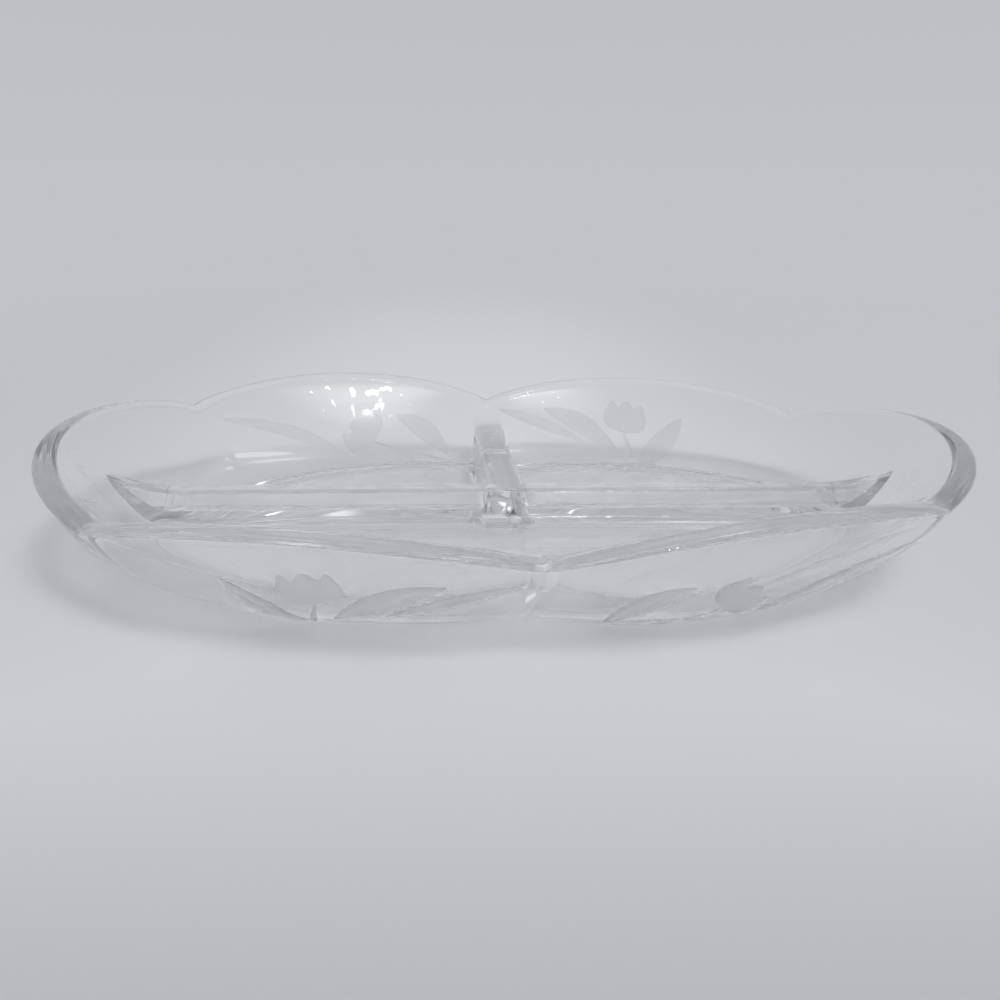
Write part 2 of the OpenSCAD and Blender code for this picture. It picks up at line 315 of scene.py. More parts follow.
@dataclass
class TrayWall:
    """The lobed, swirled wall between its foot and its rounded rim, with the floor."""

    rim: LobedOutline = LobedOutline(
        front_corners=((-120.3, -52.0, 26.0), (5.9, -75.5, 26.0), (123.2, -51.5, 30.5)),
        bulges=(13.6, 13.8, 27.98), rises=(8.9, 9.0, 10.3),
        plan_powers=(0.70, 0.70, 0.72), rise_powers=(0.86, 0.86, 0.60))
    foot: LobedOutline = LobedOutline(
        front_corners=((-110.0, -31.0, 1.2), (0.0, -53.5, 1.2), (96.0, -37.0, 1.2)),
        bulges=(14.0, 14.0, 20.0), rises=(0.0, 0.0, 0.0),
        plan_powers=(0.87, 0.87, 0.87), rise_powers=(1.0, 1.0, 1.0))
    rim_width: float = 7.0
    foot_wall_width: float = 7.0
    floor_height: float = 6.0
    crown_height: float = 2.2
    crown_power: float = 0.9
    # how the wall bows on its way out and up
    reach_power: float = 1.1
    climb_power: float = 1.8
    crease_radius: float = 0.7
    foot_crease_radius: float = 4.0
    lobe_steps: int = 44
    wall_steps: int = 40
    crown_steps: int = 20
    flat_shares: tuple[float, ...] = (0.12, 0.4, 0.65, 0.82, 0.93, 0.98)
    profile_steps: int = 60
    search_steps: int = 30
    slope_step: float = 0.2

    def __post_init__(self) -> None:
        """Works out the rings of the foot and the rim once."""
        self.rim_ring = self.eased(self.ring(self.rim), self.crease_radius)
        self.foot_ring = self.eased(self.ring(self.foot), self.foot_crease_radius)
        self.inner_rim = self.rim_ring - self.outward(self.rim_ring) * self.rim_width
        inner = self.foot_ring - self.outward(self.foot_ring) * self.foot_wall_width
        self.inner_foot = np.column_stack([inner[:, :2], np.full(len(inner), self.floor_height)])

    def ring(self, outline: LobedOutline) -> np.ndarray:
        """Returns an outline's points, which crowd towards its corners."""
        steps = (1 - np.cos(np.pi * np.arange(self.lobe_steps) / self.lobe_steps)) / 2
        return outline.at(np.repeat(np.arange(6), self.lobe_steps), np.tile(steps, 6))

    @staticmethod
    def eased(points: np.ndarray, radius: float) -> np.ndarray:
        """Rounds a ring's sharp corners as the mould and the flame do.

        Args:
            points: Points of the closed ring in rows.
            radius: Length over which each point is averaged with its neighbours.

        Returns:
            The same ring with rounded corners.
        """
        steps = np.linalg.norm(np.roll(points, -1, axis=0) - points, axis=1)
        place = np.concatenate([[0], np.cumsum(steps)[:-1]])
        total = steps.sum()
        weight = (steps + np.roll(steps, 1)) / 2
        gap = np.abs(place[:, None] - place[None, :])
        gap = np.minimum(gap, total - gap)
        share = np.exp(-((gap / radius) ** 2) / 2) * weight[None, :]
        return share @ points / share.sum(axis=1)[:, None]

    @staticmethod
    def outward(points: np.ndarray) -> np.ndarray:
        """Finds the level outward direction of a closed ring at each of its points.

        Args:
            points: Points of the ring in rows.

        Returns:
            The directions in rows, each of length one.
        """
        run = np.roll(points, -1, axis=0) - np.roll(points, 1, axis=0)
        level = np.column_stack([run[:, 1], -run[:, 0], np.zeros(len(run))])
        return level / np.linalg.norm(level, axis=1)[:, None]

    def bow(self, low: np.ndarray, high: np.ndarray, share: float | np.ndarray) -> np.ndarray:
        """Finds points up a wall that bows out from a foot to a rim.

        Args:
            low: Points of the foot in rows.
            high: Points of the rim in rows.
            share: Share of the way up, from 0 to 1.

        Returns:
            The points in rows.
        """
        angle = np.atleast_1d(share) * np.pi / 2
        reach = np.sin(angle) ** self.reach_power
        climb = 1 - np.clip(np.cos(angle), 0, 1) ** self.climb_power
        return low + (high - low) * np.column_stack([reach, reach, climb])

    def crown(self) -> list[np.ndarray]:
        """Rounds the top of the rim.

        Returns:
            Rings over the rim, from its outer edge to its inner edge.
        """
        rings = []
        outward = self.outward(self.rim_ring)
        turns = (1 - np.cos(np.pi * np.arange(1, self.crown_steps) / self.crown_steps)) / 2 * np.pi
        for turn in turns:
            cosine = math.cos(turn)
            across = (1 - math.copysign(abs(cosine) ** self.crown_power, cosine)) / 2
            lift = math.sin(turn) ** self.crown_power * self.crown_height
            rings.append(self.rim_ring - outward * self.rim_width * across + np.array([0, 0, lift]))
        return rings

    def shell(self) -> Skin:
        """Skins the wall, its rim and the floor.

        Returns:
            Points and faces of one closed skin.
        """
        shares = np.arange(self.wall_steps + 1) / self.wall_steps
        underside = [self.foot_ring * (s, s, 1) for s in self.flat_shares]
        outside = [self.bow(self.foot_ring, self.rim_ring, s) for s in shares]
        inside = [self.bow(self.inner_foot, self.inner_rim, s) for s in shares[::-1]]
        floor = [self.inner_foot * (s, s, 1) for s in self.flat_shares[::-1]]
        return loft(underside + outside + self.crown() + inside + floor)

    def outer_height(self, lobe: int, share: float, heading: float,
                     reach: np.ndarray) -> np.ndarray:
        """Finds how high the outside of the wall is over points along a heading.

        Args:
            lobe: Lobe that the heading meets.
            share: Share of the way along that lobe.
            heading: Heading from the middle of the tray, in radians.
            reach: Distances from the middle of the tray.

        Returns:
            The heights at those distances.
        """
        low, high = self.foot.at(lobe, share), self.rim.at(lobe, share)
        line = self.bow(low, high, np.linspace(0, 1, self.profile_steps))
        along = line[:, 0] * math.cos(heading) + line[:, 1] * math.sin(heading)
        return np.interp(reach, along, line[:, 2])

    def front_point(self, lobe: int, x: np.ndarray, z: np.ndarray) -> np.ndarray:
        """Finds the points of the outside of a front lobe that a view from the front shows.

        Args:
            lobe: Lobe 0 or 1.
            x: Places along the tray.
            z: Heights above the table.

        Returns:
            The points in rows.
        """
        low, high = np.zeros_like(x), np.ones_like(x)
        for _ in range(self.search_steps):
            share = (low + high) / 2
            foot, rim = self.foot.at(lobe, share), self.rim.at(lobe, share)
            climb = np.clip((z - foot[:, 2]) / (rim[:, 2] - foot[:, 2]), 0, 1)
            cosine = (1 - climb) ** (1 / self.climb_power)
            reach = np.sqrt(1 - cosine**2) ** self.reach_power
            found = foot[:, 0] + (rim[:, 0] - foot[:, 0]) * reach
            low, high = np.where(found < x, share, low), np.where(found < x, high, share)
        return np.column_stack([x, foot[:, 1] + (rim[:, 1] - foot[:, 1]) * reach, z])

    def front_outward(self, lobe: int, x: np.ndarray, z: np.ndarray) -> np.ndarray:
        """Finds the outward directions at the points that front_point() finds.

        Args:
            lobe: Lobe 0 or 1.
            x: Places along the tray.
            z: Heights above the table.

        Returns:
            The directions in rows, each of length one.
        """
        step = self.slope_step
        along = self.front_point(lobe, x + step, z) - self.front_point(lobe, x - step, z)
        up = self.front_point(lobe, x, z + step) - self.front_point(lobe, x, z - step)
        out = np.cross(along, up)
        return out / np.linalg.norm(out, axis=1)[:, None]


@dataclass
class FootRing:
    """The low ring that the tray stands on, with a rounded outer edge and a soft slope inside."""

    step: float = 1.0
    width: float = 5.0
    edge_radius: float = 0.7
    slope_width: float = 7.0
    seat_depth: float = 1.5
    edge_steps: int = 12

    def skin(self, wall: TrayWall) -> Skin:
        """Skins the ring, whose top ends inside the base.

        Args:
            wall: Wall that the ring carries.

        Returns:
            Points and faces.
        """
        outward = wall.outward(wall.foot_ring)
        flat = wall.foot_ring * (1, 1, 0)
        rise = wall.foot_ring[0, 2]
        top = rise + self.seat_depth
        share = np.linspace(0, 1, self.edge_steps)
        round_edge = [(self.edge_radius * (1 - math.sin(t)), self.edge_radius * (1 - math.cos(t)))
                      for t in share * np.pi / 2]
        slope = [(self.width + self.slope_width * (t - 0.5), rise * (1 - math.cos(np.pi * t)) / 2)
                 for t in share]
        profile = [(0.0, top)] + round_edge[::-1] + slope + [(slope[-1][0], top)]
        rings = [flat - outward * (self.step + inset) + np.array([0, 0, height])
                 for inset, height in profile]
        return loft(rings[::-1], closed=True)


@dataclass
class DividerRib:
    """A divider: a tapered rib with coves at its foot and rounded top edges."""

    heading: float
    foot_width: float
    stations: np.ndarray
    edge_radius: float
    floor_height: float = 5.98
    least_depth: float = 1.0
    cove_radius: float = 4.5
    edge_steps: int = 7
    cove_steps: int = 12
    flank_shares: tuple[float, ...] = (0.06, 0.15, 0.3, 0.5, 0.7, 0.85, 0.94)
    flank_swell: float = 0.03

    def section(self, top_width: float, height: float) -> np.ndarray:
        """Works out one cross section above the floor.

        Args:
            top_width: Width between the flanks at the top.
            height: Height of the top above the floor.

        Returns:
            Points across and up, from the cove on one side over the top to the other cove.
        """
        flank = math.atan2(self.foot_width / 2 - top_width / 2, height)
        turn = math.pi / 2 - flank
        cove_x = self.foot_width / 2 + self.cove_radius * math.tan(turn / 2)
        edge_x = top_width / 2 - self.edge_radius * math.tan(turn / 2)
        edge_z = height - self.edge_radius
        side = [(cove_x - self.cove_radius * math.sin(t), self.cove_radius * (1 - math.cos(t)))
                for t in np.linspace(0, turn, self.cove_steps + 1)]
        edge = [(edge_x + self.edge_radius * math.cos(t), edge_z + self.edge_radius * math.sin(t))
                for t in np.linspace(flank, math.pi / 2, self.edge_steps + 1)]
        low, high = np.array(side[-1]), np.array(edge[0])
        swell = np.array([math.cos(flank), math.sin(flank)]) * self.flank_swell
        side += [tuple(low + (high - low) * share + swell * 4 * share * (1 - share))
                 for share in self.flank_shares]
        right = np.array(side + edge)
        return np.concatenate([right, right[::-1] * (-1, 1)])

    def skin(self, low: np.ndarray) -> Skin:
        """Skins the rib's sections.

        Args:
            low: Height of the rib's hidden underside at each station, inside the glass.

        Returns:
            Points and faces of the rib as a closed skin.
        """
        rings = []
        cosine, sine = math.cos(self.heading), math.sin(self.heading)
        for (reach, top_width, height), bottom in zip(self.stations, low):
            shape = self.section(top_width, height)
            across = np.concatenate([shape[:1, 0], shape[:, 0], shape[-1:, 0]])
            up = np.maximum(shape[:, 1] + self.floor_height, bottom + self.least_depth)
            up = np.concatenate([[bottom], up, [bottom]])
            rings.append(np.column_stack([reach * cosine - across * sine,
                                          reach * sine + across * cosine, up]))
        return loft(rings)


@dataclass
class TrayBody:
    """The clear pressing: wall, floor, foot ring and both dividers in one closed mesh."""

    wall: TrayWall = field(default_factory=TrayWall)
    foot: FootRing = field(default_factory=FootRing)
    divider_height: float = 12.0
    divider_top_width: float = 5.4
    divider_tip_width: float = 3.2
    divider_foot_width: float = 12.5
    divider_edge_radius: float = 1.6
    level_reach: float = 110.0
    tip_reach: float = 141.0
    tip_rise: float = 8.0
    rib_step: float = 3.0
    cross_top_width: float = 12.0
    cross_foot_width: float = 16.0
    cross_edge_radius: float = 3.5
    cross_rise: float = 4.0
    cross_rise_run: float = 14.0
    cross_rise_end: float = 68.2
    cross_reach: float = 71.5
    cross_step: float = 1.0
    skirt: float = 3.5
    sharp_degrees: float = 38.0

    @staticmethod
    def swept(reach: np.ndarray, start: float, end: float) -> np.ndarray:
        """Returns the share of a rib's sweep at each reach, from 0 at its start to 1 at its end."""
        return np.clip((reach - start) / (end - start), 0, 1)

    def long_rib(self) -> DividerRib:
        """Lays out the divider along the tray, whose ends sweep up to points.

        Returns:
            The rib.
        """
        steps = round(2 * self.tip_reach / self.rib_step)
        reach = np.linspace(-self.tip_reach, self.tip_reach, steps + 1)
        share = self.swept(np.abs(reach), self.level_reach, self.tip_reach)
        narrowing = self.divider_tip_width - self.divider_top_width
        width = self.divider_top_width + narrowing * share**2 * (3 - 2 * share)
        height = self.divider_height + self.tip_rise * share**2
        return DividerRib(0.0, self.divider_foot_width, np.column_stack([reach, width, height]),
                          self.divider_edge_radius)

    def cross_rib(self) -> DividerRib:
        """Lays out the divider across the back half, which climbs the wall to the side crease.

        Returns:
            The rib.
        """
        steps = round(self.cross_reach / self.cross_step)
        reach = np.linspace(0, self.cross_reach, steps + 1)
        share = self.swept(reach, self.cross_rise_end - self.cross_rise_run, self.cross_rise_end)
        width = np.full_like(reach, self.cross_top_width)
        height = self.divider_height + self.cross_rise * share**2
        crease = self.wall.rim.corners()[BACK_LEFT_LOBE]
        return DividerRib(math.atan2(crease[1], crease[0]), self.cross_foot_width,
                          np.column_stack([reach, width, height]), self.cross_edge_radius)

    def build(self, glass: Material) -> Object:
        """Makes the body.

        Args:
            glass: Material of the fire-polished glass.

        Returns:
            The finished object.
        """
        body = mesh_object("tray_body", *self.wall.shell(), glass)
        tools = [mesh_object("foot_ring_tool", *self.foot.skin(self.wall), glass)]
        # the long rib runs to the middle of the end lobe, and the cross rib to a crease
        for name, rib, lobe, share in (("long_rib_tool", self.long_rib(), RIGHT_END_LOBE, 0.5),
                                       ("cross_rib_tool", self.cross_rib(), BACK_LEFT_LOBE, 0.0)):
            reach = np.abs(rib.stations[:, 0])
            low = self.wall.outer_height(lobe, share, rib.heading, reach) + self.skirt
            tools.append(mesh_object(name, *rib.skin(low), glass))
        self.unite(body, tools)
        return body

    def unite(self, body: Object, tools: list[Object]) -> None:
        """Joins solids into the body, so that no face is left inside the glass.

        Args:
            body: Object that takes the joined mesh.
            tools: Solids to join to it, which are removed.
        """
        for tool in tools:
            joint = body.modifiers.new(tool.name, "BOOLEAN")
            joint.operation = "UNION"
            joint.solver = "MANIFOLD"
            joint.object = tool
        shaped = body.evaluated_get(bpy.context.evaluated_depsgraph_get())
        joined = bpy.data.meshes.new_from_object(shaped)
        body.modifiers.clear()
        body.data = joined
        for tool in tools:
            bpy.data.objects.remove(tool)
        joined.polygons.foreach_set("use_smooth", [True] * len(joined.polygons))
        joined.set_sharp_from_angle(angle=math.radians(self.sharp_degrees))


def grooved(lift: np.ndarray, off: np.ndarray, width: float, amount: np.ndarray) -> np.ndarray:
    """Presses a soft groove into a relief.

    Args:
        lift: The relief's share of its full height.
        off: Distance of each place from the groove's middle line.
        width: Width of the groove, measured as the distance is.
        amount: Share of the groove's depth at each place, cut off at 0 and 1.

    Returns:
        The grooved relief.
    """
    return lift * (1 - GROOVE_DEPTH * np.exp(-((off / width) ** 2)) * np.clip(amount, 0, 1))


@dataclass(frozen=True)
class Leaf:
    """A leaf or stem of a spray, from shares along its lobe and of the side crease's height."""

    root: Pair
    tip: Pair
    bow: float
    width: float
    veined: bool = True
    outline_power: float = 0.8
    cross_power: float = 0.8
    length_power: float = 0.4
    vein_width: float = 0.2
    vein_growth: Pair = (3.0, 0.4)

    def grid(self, place: "Spray", along: np.ndarray,
             across: np.ndarray) -> tuple[np.ndarray, np.ndarray, np.ndarray]:
        """Lays the leaf out in a grid seen from the front.

        Args:
            place: Spray that turns shares into millimetres.
            along: Shares of the way from root to tip.
            across: Places across, from -1 to 1.

        Returns:
            Places along the tray, heights, and the relief's share of its full height.
        """
        root, tip = place.spot(self.root), place.spot(self.tip)
        run = tip - root
        side = np.array([-run[1], run[0]])
        s, v = np.meshgrid(along, across, indexing="ij")
        middle = root + run * s[..., None] + side * (self.bow * 4 * s * (1 - s))[..., None]
        swell = np.sin(np.pi * s)
        half = self.width / 2 * swell**self.outline_power
        spots = middle + side / np.linalg.norm(run) * (half * v)[..., None]
        lift = (1 - v**2) ** self.cross_power * swell**self.length_power
        if self.veined:
            growth, delay = self.vein_growth
            lift = grooved(lift, v, self.vein_width, swell * growth - delay)
        return spots[..., 0], spots[..., 1], lift


@dataclass(frozen=True)
class Bloom:
    """An open tulip, seen from the side, with three pointed petals."""

    foot: Pair
    tilt_degrees: float
    width: float = 18.0
    height: float = 13.0
    side_shares: tuple[Pair, ...] = ((0, 0.20), (0.10, 0.68), (0.22, 0.88),
                                     (0.34, 0.98), (0.62, 1.0), (1.0, 0.84))
    tip_shares: tuple[Pair, ...] = ((0, 1.0), (0.24, 0.90), (0.46, 0.72),
                                    (0.66, 0.85), (0.84, 0.96), (1.0, 0.80))
    round_power: float = 0.8
    fold_place: float = 0.40
    fold_width: float = 0.10
    fold_growth: Pair = (2.0, 0.2)

    def grid(self, place: "Spray", along: np.ndarray,
             across: np.ndarray) -> tuple[np.ndarray, np.ndarray, np.ndarray]:
        """Lays the bloom out in a grid seen from the front.

        Args:
            place: Spray that turns shares into millimetres.
            along: Shares of the way from the bloom's foot to its tips.
            across: Places across, from -1 to 1.

        Returns:
            Places along the tray, heights, and the relief's share of its full height.
        """
        s, v = np.meshgrid(along, across, indexing="ij")
        aside = v * (np.interp(s, *zip(*self.side_shares)) * self.width / 2)
        up = s * (np.interp(np.abs(v), *zip(*self.tip_shares)) * self.height)
        turn = math.radians(self.tilt_degrees)
        cosine, sine = math.cos(turn), math.sin(turn)
        foot = place.spot(self.foot)
        x = foot[0] + aside * cosine - up * sine
        z = foot[1] + aside * sine + up * cosine
        lift = (1 - v**4) ** self.round_power * (1 - (2 * s - 1) ** 4) ** self.round_power
        growth, delay = self.fold_growth
        lift = grooved(lift, np.abs(v) - self.fold_place, self.fold_width, s * growth - delay)
        return x, z, lift


@dataclass
class Spray:
    """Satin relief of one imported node: leaves or a bloom on one long lobe."""

    name: str
    lobe: int
    half: Half
    shapes: tuple[Leaf | Bloom, ...]
    wall: TrayWall
    relief: float = 0.45
    air_gap: float = 0.02
    end_trim: float = 0.02
    along_steps: int = 44
    across_steps: int = 20

    def spot(self, share: Pair) -> np.ndarray:
        """Finds a point of the spray.

        Args:
            share: Share of the way along the lobe, and share of the side crease's height.

        Returns:
            Its place along the tray and its height.
        """
        corners = self.wall.rim.corners()
        start, end = corners[self.lobe], corners[self.lobe + 1]
        return np.array([start[0] + (end[0] - start[0]) * share[0], corners[1][2] * share[1]])

    def patch(self, shape: Leaf | Bloom) -> Skin:
        """Models one shape of the spray as a closed skin on the wall.

        Args:
            shape: Leaf, stem or bloom.

        Returns:
            Points and faces.
        """
        evenly = np.linspace(self.end_trim, 1 - self.end_trim, self.along_steps)
        along = (1 - np.cos(evenly * np.pi)) / 2
        across = np.sin(np.linspace(-1, 1, self.across_steps) * np.pi / 2)
        x, z, lift = shape.grid(self, along, across)
        rows, cols = x.shape
        outer = np.arange(rows * cols).reshape(rows, cols)
        inner = outer + rows * cols
        # the relief thins out to nothing at its edge, where both sides share their points
        for edge in (0, -1, np.s_[:, 0], np.s_[:, -1]):
            lift[edge], inner[edge] = 0, outer[edge]
        base = self.wall.front_point(self.lobe, x.ravel(), z.ravel())
        out = self.wall.front_outward(self.lobe, x.ravel(), z.ravel())
        top = base + out * (self.air_gap + self.relief * lift.ravel())[:, None]
        bottom = base + out * self.air_gap
        faces = []
        for grid, flip in ((outer, False), (inner, True)):
            for k in range(rows - 1):
                for i in range(cols - 1):
                    face = (grid[k, i], grid[k, i + 1], grid[k + 1, i + 1], grid[k + 1, i])
                    faces.append(tuple(int(n) for n in (face[::-1] if flip else face)))
        return np.concatenate([top, bottom]), faces

    def build(self, satin: Material) -> Object:
        """Makes the spray.

        Args:
            satin: Material of the etched glass.

        Returns:
            The finished object.
        """
        points, faces, start = [], [], 0
        for shape in self.shapes:
            found, corners = self.patch(shape)
            faces += [tuple(start + n for n in face) for face in corners]
            points.append(found)
            start += len(found)
        turn = self.half.value
        points = np.concatenate(points) * (turn, turn, 1)
        piece = mesh_object(self.name + "_satin", points, faces, satin)
        tidy_mesh(piece)
        return piece


def tidy_mesh(piece: Object) -> None:
    """Drops loose points of an object's mesh and turns its faces outward.

    Args:
        piece: Object whose mesh is tidied.
    """
    work = bmesh.new()
    work.from_mesh(piece.data)
    bmesh.ops.delete(work, geom=[v for v in work.verts if not v.link_faces], context="VERTS")
    bmesh.ops.recalc_face_normals(work, faces=work.faces)
    work.to_mesh(piece.data)
    work.free()


def sprays(wall: TrayWall) -> list[Spray]:
    """Lays out the satin relief, two pieces to a long lobe.

    Args:
        wall: Wall that carries the relief.

    Returns:
        The eight pieces.
    """
    first_bloom = (Bloom((0.525, 0.52), 8),)
    first_leaves = (Leaf((0.49, 0.09), (0.33, 0.80), 0.08, 8.0),
                    Leaf((0.55, 0.24), (0.80, 0.86), 0.06, 8.0),
                    Leaf((0.66, 0.34), (0.96, 0.86), 0.02, 4.6),
                    Leaf((0.505, 0.08), (0.525, 0.52), 0.05, 1.8, veined=False))
    second_bloom = (Bloom((0.415, 0.38), -48),)
    second_leaves = (Leaf((0.12, 0.08), (0.415, 0.38), -0.06, 1.8, veined=False),
                     Leaf((0.48, 0.10), (0.93, 0.94), 0.05, 4.6),
                     Leaf((0.14, 0.16), (0.34, 0.78), 0.08, 8.0))
    return [
        Spray("front_left_bloom", 0, Half.FRONT, first_bloom, wall),
        Spray("front_left_leaves", 0, Half.FRONT, first_leaves, wall),
        Spray("front_right_bloom", 1, Half.FRONT, second_bloom, wall),
        Spray("front_right_leaves", 1, Half.FRONT, second_leaves, wall),
        Spray("back_right_bloom", 0, Half.BACK, first_bloom, wall),
        Spray("back_right_leaves", 0, Half.BACK, first_leaves, wall),
        Spray("back_left_bloom", 1, Half.BACK, second_bloom, wall),
        Spray("back_left_leaves", 1, Half.BACK, second_leaves, wall),
    ]


@dataclass(frozen=True)
class Lamp:
    """A soft lamp, aimed at the tray, which lights the table but leaves no mark in the glass."""

    name: str
    place: Triple
    size: Pair
    watts: float
    aim: Triple = (0.0, 0.0, 0.02)
    colour: str = "FFFFFF"

    def build(self) -> Object:
        """Hangs the lamp.

        Returns:
            The lamp's object.
        """
        data = bpy.data.lights.new(self.name, "AREA")
        data.shape = "RECTANGLE"
        data.size, data.size_y = self.size
        data.energy = self.watts
        data.color = linear(self.colour)[:3]
        lamp = bpy.data.objects.new(self.name, data)
        lamp.location = self.place
        way = Vector(self.aim) - Vector(self.place)
        lamp.rotation_euler = way.to_track_quat("-Z", "Y").to_euler()
        lamp.visible_glossy = lamp.visible_transmission = False
        bpy.context.scene.collection.objects.link(lamp)
        return lamp


@dataclass(frozen=True)
class DaylightPanel:
    """A far bright panel that only the glass shows, as ragged glints in a faint glow."""

    azimuth_degrees: float
    elevation_degrees: float
    size: Pair = (1.0, 0.6)
    core_share: float = 0.0
    core_edge: float = 0.05
    core_strength: float = 30.0
    glow_start: float = 0.2
    glow_strength: float = 2.5
    ragged: float = 2.5
    lump_mm: float = 40.0
    lump_stretch: float = 4.0
    distance: float = 2.0

    def material(self) -> Material:
        """Makes the panel's light, which thins out from its middle and is clear past its edge.

        Returns:
            The material.
        """
        wide, high = self.size[0] / 2, self.size[1] / 2
        material, output = new_material("diffused_daylight")
        tree = material.node_tree
        place = add_node(tree, "TexCoord")
        scaled = add_node(tree, "VectorMath", {"operation": "MULTIPLY", 1: (1 / wide, 1 / high, 0)},
                          {0: place.outputs["Object"]})
        reach = add_node(tree, "VectorMath", {"operation": "LENGTH"}, {0: scaled.outputs[0]})
        # lumps that are four times as high as wide come back from the curved wall as round ones
        squeezed = add_node(tree, "VectorMath",
                            {"operation": "MULTIPLY", 1: (1.0, 1 / self.lump_stretch, 0)},
                            {0: place.outputs["Object"]})
        lumps = add_node(tree, "TexNoise", {"Scale": 1 / (self.lump_mm * MM), "Detail": 1.0},
                         {"Vector": squeezed.outputs[0]})
        edge = add_node(tree, "Math", {"operation": "MULTIPLY_ADD", 1: self.ragged},
                        {0: lumps.outputs["Fac"], 2: reach.outputs["Value"]})
        core_end = self.core_share + self.ragged / 2
        core = add_node(tree, "MapRange",
                        {**SMOOTH, "From Min": core_end, "From Max": core_end + self.core_edge,
                         "To Min": self.core_strength, "To Max": 0.0}, {"Value": edge.outputs[0]})
        glow = add_node(tree, "MapRange",
                        {**SMOOTH, "From Min": self.glow_start, "From Max": 1.0,
                         "To Min": self.glow_strength, "To Max": 0.0},
                        {"Value": reach.outputs["Value"]})
        level = add_node(tree, "Math", {"operation": "ADD"},
                         {0: core.outputs["Result"], 1: glow.outputs["Result"]})
        light = add_node(tree, "Emission", None, {"Strength": level.outputs[0]})
        clear = add_node(tree, "BsdfTransparent")
        both = add_node(tree, "AddShader", None,
                        {0: clear.outputs["BSDF"], 1: light.outputs["Emission"]})
        tree.links.new(both.outputs["Shader"], output.inputs["Surface"])
        return material

    def build(self) -> Object:
        """Hangs the panel, facing the tray.

        Returns:
            The panel's object.
        """
        panel = level_sheet("daylight_panel", (self.size[0] / 2, self.size[1] / 2), 0.0,
                            self.material())
        azimuth = math.radians(self.azimuth_degrees)
        elevation = math.radians(self.elevation_degrees)
        level = math.cos(elevation)
        way = Vector((math.sin(azimuth) * level, math.cos(azimuth) * level, math.sin(elevation)))
        panel.location = way * self.distance
        panel.rotation_euler = way.to_track_quat("Z", "Y").to_euler()
        panel.visible_camera = panel.visible_diffuse = panel.visible_shadow = False
        return panel


